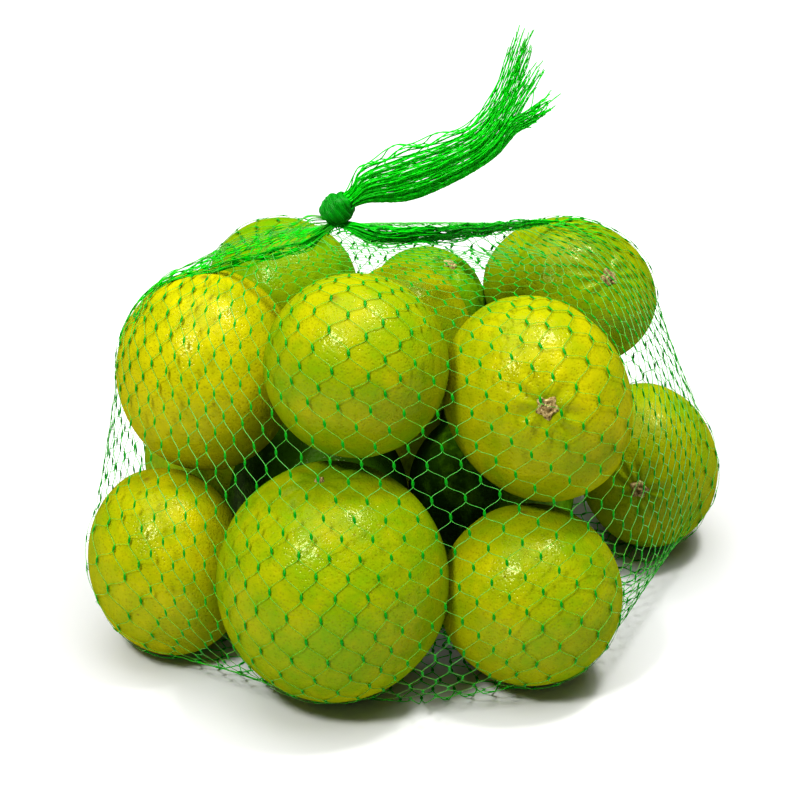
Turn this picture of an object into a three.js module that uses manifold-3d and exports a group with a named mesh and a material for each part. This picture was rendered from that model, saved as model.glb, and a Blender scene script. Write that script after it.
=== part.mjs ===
// Net bag of limes: a tube of green plastic netting pulled tight over a heap of limes, knotted at the neck,
// with its cut end left as a frayed tail. The bag is one solid: every lime stands out at its true size, fused
// to a core, with the netting pressed flat under them and gathered over them to the knot.
// Millimetres, +Z up. The origin is the middle of the flat patch the bag rests on, and the front faces -Y.

import * as THREE from "three";
import { LoftGeometry } from "three/addons/geometries/LoftGeometry.js";
import { mergeVertices } from "three/addons/utils/BufferGeometryUtils.js";
import Module from "manifold-3d";

const wasm = await Module();
wasm.setup();

// The heap. The long and short sizes of a lime lie in a plane that leans back from the front of the bag,
// and turn is the angle of the long one in that plane, clockwise from level.
const HEAP_LEAN = 28;
const LIMES = [
  { at: [-55, -8, 74], long: 58, short: 52, deep: 52, turn: 90 },
  { at: [-12, -38, 91], long: 51, short: 51, deep: 50, turn: 0 },
  { at: [38, -31, 77], long: 60, short: 52, deep: 53, turn: 60 },
  { at: [52, 55, 68], long: 54, short: 46, deep: 48, turn: 15 },
  { at: [75, 24, 25], long: 51, short: 43, deep: 46, turn: 80 },
  { at: [-66, -34, 26], long: 55, short: 46, deep: 46, turn: 75 },
  { at: [-18.7, -57, 33.5], long: 67, short: 65, deep: 61, turn: 90 },
  { at: [36.5, -51, 25.5], long: 52, short: 52, deep: 50, turn: 90 },
  { at: [-36, 55, 69], long: 47, short: 45, deep: 46, turn: 0 },
  { at: [1, 13, 72], long: 48, short: 41, deep: 42, turn: 90 },
  { at: [8, 53, 63], long: 40, short: 38, deep: 40, turn: 90 },
  { at: [-57, 34, 22], long: 44, short: 44, deep: 44, turn: 0 },
  { at: [-24, 0.5, 27], long: 54, short: 54, deep: 54, turn: 0 },
  { at: [27, 2, 29], long: 50, short: 50, deep: 50, turn: 0 },
  { at: [-14, 52.5, 25], long: 50, short: 50, deep: 50, turn: 0 },
  { at: [38, 50, 24], long: 48, short: 48, deep: 48, turn: 0 },
];

const LIME_CUTS = 4; // facets along each edge of the ball that a lime is stretched from
const NET_CLEARANCE = 0.6; // the netting's thickness outside the peel
const HEAP_MIDDLE = [0, 0, 50];
const CORE_INSET = 0.65; // how far in from a lime's middle the core ends, as a share of its half size
const LOWER_LAYER = 40; // limes whose middle is lower than this rest on the table
const FOOT = -2; // the core runs down past the table, where the bag is cut flat

// The neck, where the netting is gathered under the knot.
const NECK_AT = [-17, -3, 116.2];
const NECK_RADIUS = 3;
const SKIRT_RADIUS = 13; // where the gathered netting has spread out among the limes
const SKIRT_DROP = 34; // from the neck down to that place

// The knot.
const KNOT_AT = [-17.5, -3, 121.8];
const KNOT_HALF = [5, 4.7, 4.8];
const KNOT_TURNS = 7; // turns of the bundle of strands that winds round the knot
const KNOT_RIDGE = 0.3;
const KNOT_TILT = 52; // degrees from upright to the line on which the tail leaves
const GAP = 0.35; // between the knot and what it holds

// The tail: centre, half breadth and half depth along its run, and the tufts that its end parts into.
const TAIL = [
  { at: [-15.5, -2.4, 123.2], breadth: 2.1, depth: 2.0 },
  { at: [-12.4, -1.8, 125.2], breadth: 2.6, depth: 2.4 },
  { at: [-8.8, -1, 127.8], breadth: 4.9, depth: 3.2 },
  { at: [1.1, 0.5, 130], breadth: 7.1, depth: 3.8 },
  { at: [12.9, 3, 133.7], breadth: 6.6, depth: 3.6 },
  { at: [22.6, 5, 138.6], breadth: 5.9, depth: 3.2 },
  { at: [28.6, 7.2, 146.4], breadth: 6.3, depth: 2.6 },
];
const TUFTS = [
  { root: [26, 6.6, 145.4], tip: [34.2, 13, 170], breadth: 3.4 },
  { root: [28.2, 7, 145.4], tip: [36.8, 13.5, 167.2], breadth: 3 },
  { root: [29.4, 6.8, 143.6], tip: [39, 12, 159.4], breadth: 3.6 },
  { root: [29, 6, 140.6], tip: [42.2, 9, 149], breadth: 3.4 },
];
const TUFT_DEPTH = 1.9;
const TUFT_TIP = 0.55; // half breadth at a cut end
const TAIL_PLEATS = 9;
const TAIL_PLEAT = 0.07; // height of a pleat as a share of the half breadth
const TAIL_STEPS = 16;
const TUFT_STEPS = 5;
const TAIL_ROUND = 36;

const PEEL = { color: 0xb9c41a, roughness: 0.42, metalness: 0 };
const NETTING = { color: 0x0fa81e, roughness: 0.38, metalness: 0 };

const vector = ([x, y, z]) => new THREE.Vector3(x, y, z);
const radians = THREE.MathUtils.degToRad;

function toSolid(geometry) {
  const bare = new THREE.BufferGeometry();
  bare.setAttribute("position", geometry.getAttribute("position"));
  bare.setIndex(geometry.index);
  const welded = mergeVertices(bare, 1e-4);
  return new wasm.Manifold(
    new wasm.Mesh({
      numProp: 3,
      vertProperties: new Float32Array(welded.attributes.position.array),
      triVerts: new Uint32Array(welded.index.array),
    }),
  );
}

function toMesh(name, solid, finish) {
  const { vertProperties, triVerts, numProp } = solid.getMesh();
  const geometry = new THREE.BufferGeometry();
  const points = new THREE.InterleavedBuffer(vertProperties, numProp);
  geometry.setAttribute("position", new THREE.InterleavedBufferAttribute(points, 3, 0));
  geometry.setIndex(new THREE.BufferAttribute(triVerts, 1));
  geometry.computeVertexNormals();
  const mesh = new THREE.Mesh(geometry, new THREE.MeshStandardMaterial(finish));
  mesh.name = name;
  return mesh;
}

function ball(at, half, across = 40, down = 24) {
  return new THREE.SphereGeometry(1, across, down).scale(...half).translate(...at);
}

// A lime in its netting: a ball stretched along its three axes.
function growLime({ at, long, short, deep, turn }) {
  const lean = radians(HEAP_LEAN);
  const swing = radians(turn);
  const right = new THREE.Vector3(1, 0, 0);
  const up = new THREE.Vector3(0, Math.sin(lean), Math.cos(lean));
  const front = new THREE.Vector3(0, -Math.cos(lean), Math.sin(lean));
  const along = right.clone().multiplyScalar(Math.cos(swing)).addScaledVector(up, -Math.sin(swing));
  const across = right.clone().multiplyScalar(Math.sin(swing)).addScaledVector(up, Math.cos(swing));
  const half = [long, short, deep].map((size) => size / 2 + NET_CLEARANCE);
  const placed = new THREE.Matrix4().makeBasis(along, across, front).scale(vector(half)).setPosition(...at);
  return toSolid(new THREE.IcosahedronGeometry(1, LIME_CUTS).applyMatrix4(placed));
}

// What lies behind the limes: a core that just reaches into each of them, down to the netting on the table.
function fillCore() {
  const corners = [];
  LIMES.forEach(({ at, short }) => {
    const inward = vector(HEAP_MIDDLE).sub(vector(at)).setLength((CORE_INSET * short) / 2);
    const corner = vector(at).add(inward).toArray();
    corners.push(corner);
    if (at[2] < LOWER_LAYER) {
      corners.push([corner[0], corner[1], FOOT]);
    }
  });
  return wasm.Manifold.hull(corners);
}

// The skirt of gathered netting that carries the knot.
function gatherNeck() {
  const skirt = new THREE.CylinderGeometry(NECK_RADIUS, SKIRT_RADIUS, SKIRT_DROP, 24);
  skirt.rotateX(Math.PI / 2);
  const [x, y, z] = NECK_AT;
  return toSolid(skirt.translate(x, y, z - SKIRT_DROP / 2));
}

// The bag: the limes, their core and the neck as one solid, cut flat where it rests. Only the outer skin is
// kept, so that the small hollows shut in between the limes are filled.
function fillBag() {
  const solids = [...LIMES.map(growLime), fillCore(), gatherNeck()];
  const skins = wasm.Manifold.union(solids).trimByPlane([0, 0, 1], 0).decompose();
  return skins.reduce((largest, skin) => (skin.volume() > largest.volume() ? skin : largest));
}

// The knot: a ball wound with one slanting bundle of strands.
function tieKnot() {
  const wound = ball([0, 0, 0], [1, 1, 1], 28, KNOT_TURNS * 4).rotateX(Math.PI / 2);
  const position = wound.attributes.position;
  const point = new THREE.Vector3();
  for (let i = 0; i < position.count; i++) {
    point.fromBufferAttribute(position, i);
    const round = Math.atan2(point.y, point.x);
    const down = Math.acos(THREE.MathUtils.clamp(point.z, -1, 1));
    const wave = Math.cos(2 * KNOT_TURNS * down + round) * Math.sin(down);
    point.multiplyScalar(1 + (KNOT_RIDGE / KNOT_HALF[0]) * wave);
    position.setXYZ(i, point.x, point.y, point.z);
  }
  wound.scale(...KNOT_HALF).rotateY(radians(KNOT_TILT)).translate(...KNOT_AT);
  return toSolid(wound);
}

// A pleated skin over flattened rounds, each square to the run of the centres.
function gather(stations, steps, pleats) {
  const run = new THREE.CatmullRomCurve3(stations.map((s) => vector(s.at)));
  const breadth = new THREE.SplineCurve(stations.map((s, i) => new THREE.Vector2(i, s.breadth)));
  const depth = new THREE.SplineCurve(stations.map((s, i) => new THREE.Vector2(i, s.depth)));
  const sections = [];
  for (let i = 0; i <= steps; i++) {
    const t = i / steps;
    const along = run.getTangent(t);
    const side = new THREE.Vector3(0, 1, 0).cross(along).normalize();
    const back = along.clone().cross(side).normalize();
    const wide = breadth.getPoint(t).y;
    const thick = depth.getPoint(t).y;
    const section = [];
    for (let k = 0; k < TAIL_ROUND; k++) {
      const angle = (k / TAIL_ROUND) * 2 * Math.PI;
      const pleat = 1 + pleats * Math.cos(TAIL_PLEATS * angle);
      const point = run.getPoint(t).addScaledVector(side, wide * pleat * Math.cos(angle));
      section.push(point.addScaledVector(back, thick * pleat * Math.sin(angle)));
    }
    sections.push(section);
  }
  return toSolid(new LoftGeometry(sections, { capStart: true, capEnd: true }));
}

// The tail: a gathered length of netting whose end parts into tufts.
function hangTail() {
  const body = gather(TAIL, TAIL_STEPS, TAIL_PLEAT);
  const tufts = TUFTS.map(({ root, tip, breadth }) => {
    const middle = vector(root).lerp(vector(tip), 0.5).toArray();
    const stations = [
      { at: root, breadth, depth: TUFT_DEPTH },
      { at: middle, breadth: breadth * 0.8, depth: TUFT_DEPTH * 0.8 },
      { at: tip, breadth: TUFT_TIP, depth: TUFT_TIP },
    ];
    return gather(stations, TUFT_STEPS, TAIL_PLEAT);
  });
  return wasm.Manifold.union([body, ...tufts]);
}

const clearance = KNOT_HALF.map((size) => size + KNOT_RIDGE + GAP);
const knotRoom = toSolid(ball(KNOT_AT, clearance));

const part = new THREE.Group();
part.name = "net_bag_of_limes";
part.add(toMesh("net_bag", fillBag().subtract(knotRoom), PEEL));
part.add(toMesh("net_knot", tieKnot(), NETTING));
part.add(toMesh("net_tail", hangTail().subtract(knotRoom), NETTING));

export default part;
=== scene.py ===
"""Net bag of limes: the limes, their stem ends, the netting, its knot and its frayed tail."""

import math

import bmesh
import bpy
import numpy as np
from bpy.props import FloatProperty, FloatVectorProperty, IntProperty, PointerProperty
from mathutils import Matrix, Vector
from mathutils.bvhtree import BVHTree


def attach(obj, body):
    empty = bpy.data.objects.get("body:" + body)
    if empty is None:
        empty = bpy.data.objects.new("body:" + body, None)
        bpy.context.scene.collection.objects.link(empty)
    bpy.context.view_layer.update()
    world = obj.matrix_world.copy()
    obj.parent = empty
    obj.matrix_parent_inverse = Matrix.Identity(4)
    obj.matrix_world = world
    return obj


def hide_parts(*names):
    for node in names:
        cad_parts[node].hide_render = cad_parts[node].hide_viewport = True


bl_info = {
    "name": "Net Bag of Limes",
    "version": (1, 0, 0),
    "blender": (4, 5, 0),
    "location": "3D View > Sidebar > Limes",
    "description": "Builds the limes, netting, knot and tail of a knotted net bag",
    "category": "Add Mesh",
}

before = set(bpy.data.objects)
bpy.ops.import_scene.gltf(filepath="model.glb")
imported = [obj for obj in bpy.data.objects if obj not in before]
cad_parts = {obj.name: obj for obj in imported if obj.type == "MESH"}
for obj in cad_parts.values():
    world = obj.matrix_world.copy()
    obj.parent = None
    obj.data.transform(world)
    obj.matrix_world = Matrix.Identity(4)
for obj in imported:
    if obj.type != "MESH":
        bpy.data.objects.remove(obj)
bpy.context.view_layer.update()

MM = 0.001

# Seeds of the random draws.
FRUIT_SEED = 11
STEM_SEED = 71
LATTICE_SEED = 5
WANDER_SEED = 9
NETTING_SEED = 17
TAIL_SEED = 23

# The heap leans back: each lime's two drawn axes lie in a plane tipped back by this angle.
HEAP_LEAN = math.radians(28)
RIGHT = np.array([1.0, 0.0, 0.0])
UP = np.array([0.0, math.sin(HEAP_LEAN), math.cos(HEAP_LEAN)])
AWAY = np.array([0.0, math.cos(HEAP_LEAN), -math.sin(HEAP_LEAN)])

# Each lime: middle, long, short and deep diameters in millimetres, turn in degrees,
# where its stem points (right, up, towards the front) and how ripe it is, 0 green to 1 golden; on the limes
# inside the heap and the one behind the top, a low value is also painted shade.
LIMES = {
    "lime_upper_left": ((-55, -8, 74), (58, 52, 52), 90, (0.0, -0.92, -0.39), 0.86),
    "lime_upper_middle": ((-12, -38, 91), (51, 51, 50), 0, (0.22, -0.70, -0.68), 0.52),
    "lime_upper_right": ((38, -31, 77), (60, 52, 53), 60, (0.06, -0.10, 0.99), 0.68),
    "lime_shoulder_right": ((52, 55, 68), (54, 46, 48), 15, (0.46, 0.16, 0.87), 0.43),
    "lime_lower_right": ((75, 24, 25), (51, 43, 46), 80, (-0.19, -0.32, 0.93), 0.52),
    "lime_lower_left": ((-66, -34, 26), (55, 46, 46), 75, (0.2, -0.9, -0.38), 0.66),
    "lime_front": ((-18.7, -57, 33.5), (67, 65, 61), 90, (-0.1, 0.90, 0.42), 0.46),
    "lime_front_right": ((36.5, -51, 25.5), (52, 52, 50), 90, (0.1, -0.9, -0.4), 0.6),
    "lime_shoulder_left": ((-36, 55, 69), (47, 45, 46), 0, (0.9, -0.2, -0.4), 0.32),
    "lime_top": ((1, 13, 72), (48, 41, 42), 90, (0.0, -0.9, -0.4), 0.56),
    # Painted shade: this lime's low value darkens it as if it lay in the shade behind the top.
    "lime_top_back": ((8, 53, 63), (40, 38, 40), 90, (0.39, 0.74, 0.55), 0.14),
    "lime_left_back": ((-57, 34, 22), (44, 44, 44), 0, (-0.5, 0.1, -0.86), 0.42),
    # Painted shade: the two limes inside the heap take the darkest green, so that the gaps between the front
    # limes look dark.
    "lime_core_left": ((-24, 0.5, 27), (54, 54, 54), 0, (0.3, -0.8, -0.5), -0.04),
    "lime_core_right": ((27, 2, 29), (50, 50, 50), 0, (-0.3, -0.8, -0.5), 0.0),
    "lime_back_left": ((-11.6, 52.5, 25.3), (51, 51, 51), 0, (0.2, 0.25, -0.95), 0.50),
    "lime_back_right": ((36.4, 50, 24), (48, 48, 48), 0, (0.3, -0.2, -0.93), 0.46),
}

# Breadth of the woody stem ends that differ from the others (millimetres).
STEM_BREADTHS = {
    "lime_front": 2.8,
    "lime_upper_right": 6.6,
    "lime_shoulder_right": 5.8,
    "lime_lower_right": 5.8,
}
# The hollow round a stem end and the furrows that run out of it: depth (millimetres), spread and place
# (radians from the stem) and number.
STEM_HOLLOW = 1.5
STEM_HOLLOW_SPREAD = 0.15
FURROW = 1.0
FURROW_SPREAD = 0.15
FURROW_AT = 0.26
FURROWS = 9
# The nipple at a lime's other end and the ring round it: height and depth (millimetres), spread (radians).
NIPPLE = 0.7
NIPPLE_SPREAD = 0.1
NIPPLE_RING = 0.45
NIPPLE_RING_SPREAD = 0.2
# How far the dark green round a stem end, partly the peel's own green and partly painted shade in its
# hollow, and the dry scar on the nipple spread (radians).
GREEN_AND_SHADE_SPREAD = 0.22
SCAR_SPREAD = 0.045
# How far a stem end's foot lies under the peel (millimetres).
STEM_FOOT = 1.45

# The middle of the heap, from which the netting's surface is measured (millimetres).
BAG_MIDDLE = np.array([0.0, 0.0, 50.0])

# Where the netting gathers under the knot, and the knot: middle, half size (millimetres) and tilt.
NECK_AT = np.array([-17.0, -3.0, 116.2])
NECK_RADIUS = 3.0
KNOT_AT = np.array([-17.5, -3.0, 121.8])
KNOT_HALF = 4.75
KNOT_TILT = math.radians(52)
# Windings of the knot: turns, degrees they lean, size and where they start round it. Then its collar's turns
# and radius (millimetres), and the girth of all these strands as a share of a drawn strand's.
WINDINGS = ((30, 10, 1.0, 0.0), (24, -22, 0.975, 1.7))
COLLAR_TURNS = 9
COLLAR_RADIUS = 2.7
WOUND_GIRTH = 2.1

# The tail's stations: middle, half breadth and half depth, then its tufts: root, tip and half breadth
# (millimetres).
TAIL = (
    ((-15.5, -2.4, 123.2), 2.1, 2.0),
    ((-12.4, -1.8, 125.2), 2.6, 2.4),
    ((-8.8, -1.0, 127.8), 4.9, 3.2),
    ((1.1, 0.5, 130.0), 7.1, 3.8),
    ((12.9, 3.0, 133.7), 6.6, 3.6),
    ((22.6, 5.0, 138.6), 5.9, 3.2),
    ((28.6, 7.2, 146.4), 6.3, 2.6),
)
TUFTS = (
    ((26.0, 6.6, 145.4), (34.2, 13.0, 170.0), 3.4),
    ((28.2, 7.0, 145.4), (36.8, 13.5, 167.2), 3.0),
    ((29.4, 6.8, 143.6), (39.0, 12.0, 159.4), 3.6),
    ((29.0, 6.0, 140.6), (42.2, 9.0, 149.0), 3.4),
)
# Across the tail from its upper edge (-1) to its lower edge (1): where one tuft ends.
TUFT_ENDS = (-0.45, 0.05, 0.5, 1.01)
# Girth of the tail's strands along it, and of its junctions, as shares of a drawn strand's.
TAIL_GIRTHS = ((0.0, 0.7, 1.0), (1.45, 1.35, 1.15))
TAIL_JUNCTION_GIRTH = 1.5
# Shortest and longest piece cut off a column's end, and shortest and longest loose strand (millimetres).
TAIL_CUTS = (0.5, 6.5)
TAIL_LOOSE = (1.5, 4.5)
# The distance between rows of the tail and the longest strand that still joins two of them, as shares of the
# pitch, and how far columns slip past each other, as a share of the distance between rows.
TAIL_STEP = 0.93
TAIL_JOIN = 1.35
TAIL_SLIP = 0.45

# Loose netting that lies on the table between two limes, the room a strand takes up outside the peel,
# and the rounds in which the netting, straight from lime to lime, draws in a little between them.
SLACK = ((8.0, -67.0, 2.4), (-46.0, -50.0, 2.4))
SLACK_RADIUS = 3.0
NET_CLEARANCE = 0.6
SETTLES = 24
# Netting nearer to the peel than this is drawn onto it, down to this height (millimetres).
CLING = 2.0
CLING_HEIGHT = 0.18
# Rounds in which the junctions slide until the cells are even, and after how many they are put back on the
# bag. In each round both ends of a long strand come in and those of a short one go out by a share of what is
# amiss, and a junction goes a share of the way to the middle of its neighbours.
EASES = 80
PUT_BACK = 8
SHORTENED = 0.14
LENGTHENED = 0.06
EVENED = 0.2
# No junction lies nearer to the fold or to the middle of the base than this (millimetres).
FOLD_ROOM = 0.8
BASE_ROOM = 5.0
# The netting's pieces from the fold down, and the points along one of its strands.
NET_PIECES = ("net_shoulder", "net_upper", "net_lower", "net_underside")
STRAND_POINTS = 7
# A strand meets a bar at this share of the bar's half length from its middle.
BAR_HOLD = 0.7
# Size of the smallest bars as a share of the largest.
SMALLEST_BAR = 0.45
# Girth of a drawn strand at its ends, and how much less it is half way along.
DRAWN_GIRTH = 1.25
DRAWN_WAIST = 0.4

# The fold along the bag's top, from its left end past the knot to its right end (millimetres):
# netting is bunched along it, and the columns of cells hang down from it to front and back.
FOLD = (
    (-73.5, -4.7, 94.5),
    (-65.4, -3.9, 100.4),
    (-55.6, -2.0, 103.0),
    (-45.5, -2.5, 106.3),
    (-36.9, -6.0, 110.2),
    (-28.6, -7.4, 113.5),
    (-17.0, -7.0, 116.5),
    (-5.6, -7.6, 115.6),
    (0.0, -6.0, 115.0),
    (7.0, -1.4, 113.2),
    (14.2, 5.8, 110.4),
    (21.5, 15.5, 106.8),
    (29.2, 28.0, 102.2),
    (38.8, 44.5, 96.1),
    (48.3, 54.9, 92.1),
)
FOLD_KNOT = 6
# Columns that hang to the front: their share of all, then stations from left to right with the share of
# them passed, the place along the fold they start from and the compass angle they hang towards.
FRONT_SHARE = 0.57
FRONT_COLUMNS = (
    (0.0, 0.0, 180.0),
    (0.072, 0.03, 203.0),
    (0.132, 0.1, 221.0),
    (0.192, 0.17, 235.0),
    (0.246, 0.24, 243.0),
    (0.3, 0.31, 251.0),
    (0.36, 0.36, 261.0),
    (0.438, 0.42, 278.0),
    (0.504, 0.53, 299.0),
    (0.58, 0.67, 321.0),
    (0.68, 0.82, 340.0),
    (0.78, 0.93, 359.0),
    (0.88, 0.98, 382.0),
    (1.0, 1.0, 412.0),
)
# Half the height of the bunch along the fold right and left of the knot, how far the veil on the left lies
# back and up from it, and the distance from one pleat on the left to the next (millimetres).
BUNCH_RIGHT = 2.5
BUNCH_LEFT = 3.0
VEIL = np.array([0.0, 5.0, 5.0])
PLEAT = 4.2
# Girth of the bunch's strands right and left of the knot and in the veil, and what a pleat adds to it.
GIRTH_RIGHT = 1.4
GIRTH_LEFT = 1.15
GIRTH_VEIL = 0.96
GIRTH_PLEAT = 0.3

# Within this distance of the neck the netting is pleated, and its cells look smaller (millimetres).
PLEATED = 42.0
# Height of the row of junctions that lies level round the bag (millimetres).
WAIST = 48.0

# What the camera and lamps look at, how far off the camera is, and the lamps: place and size (metres).
AIM = Vector((0.0, 0.0, 0.06))
CAMERA_DISTANCE = 0.8
LAMPS = {
    "key": ((-0.45, -0.55, 0.95), 0.18),
    "second": ((0.32, 0.08, 1.08), 0.16),
    "panel": ((0.0, 0.2, 2.4), 2.6),
}


def linear(code):
    """Scene-linear red, green and blue of an sRGB hex colour."""
    parts = [int(code[i : i + 2], 16) / 255 for i in (1, 3, 5)]
    return tuple(c / 12.92 if c <= 0.04045 else ((c + 0.055) / 1.055) ** 2.4 for c in parts)


def unit(vectors):
    """Vectors of length one."""
    vectors = np.asarray(vectors, dtype=float)
    return vectors / np.maximum(np.linalg.norm(vectors, axis=-1, keepdims=True), 1e-12)


def bell(distance, spread):
    """A smooth hill: 1 in the middle, about a third at its spread."""
    return np.exp(-((distance / spread) ** 2))


def add_node(tree, kind, inputs=None, **settings):
    """Adds a node with its settings; an input is a value or another node's output."""
    made = tree.nodes.new(kind)
    for name, value in settings.items():
        setattr(made, name, value)
    for key, value in (inputs or {}).items():
        if isinstance(value, bpy.types.NodeSocket):
            tree.links.new(value, made.inputs[key])
        else:
            made.inputs[key].default_value = value
    return made


def start_material(name):
    """An empty material: the node tree and its output."""
    material = bpy.data.materials.new(name)
    material.use_nodes = True
    material.node_tree.nodes.clear()
    output = add_node(material.node_tree, "ShaderNodeOutputMaterial")
    return material, material.node_tree, output


class LimeSettings(bpy.types.PropertyGroup):
    """Peel of the limes and their stem ends."""

    # Painted shade: the deep green goes to the limes hidden in the heap and darkens them as if they were in
    # shade.
    deep: FloatVectorProperty(
        name="Deep green",
        description="Peel of fruit that has not begun to turn",
        subtype="COLOR",
        default=linear("#345A06"),
    )
    unripe: FloatVectorProperty(
        name="Unripe",
        description="Peel of the greenest fruit",
        subtype="COLOR",
        default=linear("#629406"),
    )
    turning: FloatVectorProperty(
        name="Turning",
        description="Peel that is turning from green",
        subtype="COLOR",
        default=linear("#7E9406"),
    )
    ripe: FloatVectorProperty(
        name="Ripe",
        description="Peel of ripe, yellow fruit",
        subtype="COLOR",
        default=linear("#999C06"),
    )
    golden: FloatVectorProperty(
        name="Golden",
        description="Peel of the ripest fruit",
        subtype="COLOR",
        default=linear("#B0AA06"),
    )
    stem_colour: FloatVectorProperty(
        name="Stem end",
        description="Dry woody stem end",
        subtype="COLOR",
        default=linear("#988250"),
    )
    pore: FloatProperty(
        name="Pore spacing",
        description="Distance between oil pores in the peel",
        default=0.95 * MM,
        unit="LENGTH",
        precision=5,
    )
    unevenness: FloatProperty(
        name="Unevenness",
        description="Depth of the low lumps and hollows of the fruit",
        default=0.5 * MM,
        unit="LENGTH",
        precision=5,
    )
    stem_breadth: FloatProperty(
        name="Stem end breadth",
        description="Breadth of the woody button where the stem was",
        default=5.0 * MM,
        unit="LENGTH",
        precision=5,
    )


class NetSettings(bpy.types.PropertyGroup):
    """Strands and junctions of the drawn plastic netting."""

    columns: IntProperty(
        name="Columns",
        description="Cells round the netting tube",
        default=70,
    )
    pitch: FloatProperty(
        name="Pitch",
        description="Length of netting from one junction to the next",
        default=6.8 * MM,
        unit="LENGTH",
        precision=5,
    )
    strand: FloatProperty(
        name="Strand radius",
        description="Radius of a drawn strand",
        default=0.12 * MM,
        unit="LENGTH",
        precision=5,
    )
    junction_long: FloatProperty(
        name="Junction length",
        description="Half length of the bar where two strands join",
        default=1.0 * MM,
        unit="LENGTH",
        precision=5,
    )
    junction_broad: FloatProperty(
        name="Junction breadth",
        description="Half breadth of the bar where two strands join",
        default=0.46 * MM,
        unit="LENGTH",
        precision=5,
    )
    junction_deep: FloatProperty(
        name="Junction depth",
        description="Half depth of the bar where two strands join",
        default=0.26 * MM,
        unit="LENGTH",
        precision=5,
    )
    plastic: FloatVectorProperty(
        name="Plastic",
        description="Deep green of the thick junction bars",
        subtype="COLOR",
        default=linear("#0A9E18"),
    )
    bunched: FloatVectorProperty(
        name="Bunched plastic",
        description="Bright green of strands that lie close together",
        subtype="COLOR",
        default=linear("#10E418"),
    )
    # Painted shade: the drawn green is darker than the strand's own green, standing in for the shadow it
    # casts on the peel.
    drawn: FloatVectorProperty(
        name="Drawn plastic",
        description="Clear green of a thin drawn strand on the peel",
        subtype="COLOR",
        default=linear("#60B438"),
    )
    # Painted highlight: the glint's paler green stands in for the light caught by a strand that hangs clear.
    glint: FloatVectorProperty(
        name="Glint",
        description="Pale green of a thin drawn strand that hangs clear and catches the light",
        subtype="COLOR",
        default=linear("#5CB450"),
    )


class StageSettings(bpy.types.PropertyGroup):
    """Floor, light and camera."""

    floor: FloatVectorProperty(
        name="Floor",
        description="Plain pale floor",
        subtype="COLOR",
        default=linear("#D4D4D4"),
    )
    reach: FloatProperty(
        name="Floor breadth",
        description="Breadth of the floor",
        default=8.0,
        unit="LENGTH",
    )
    key: FloatProperty(
        name="Key light",
        description="Power of the lamp at the front left",
        default=9.0,
        subtype="POWER",
    )
    second: FloatProperty(
        name="Second light",
        description="Power of the lamp at the right",
        default=7.0,
        subtype="POWER",
    )
    panel: FloatProperty(
        name="Overhead panel",
        description="Power of the broad panel overhead",
        default=62.0,
        subtype="POWER",
    )
    sky: FloatProperty(
        name="Surroundings",
        description="Strength of the even white surroundings",
        default=0.1,
    )
    lens: FloatProperty(
        name="Lens",
        description="Focal length of the camera in millimetres",
        default=124.1,
    )


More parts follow.
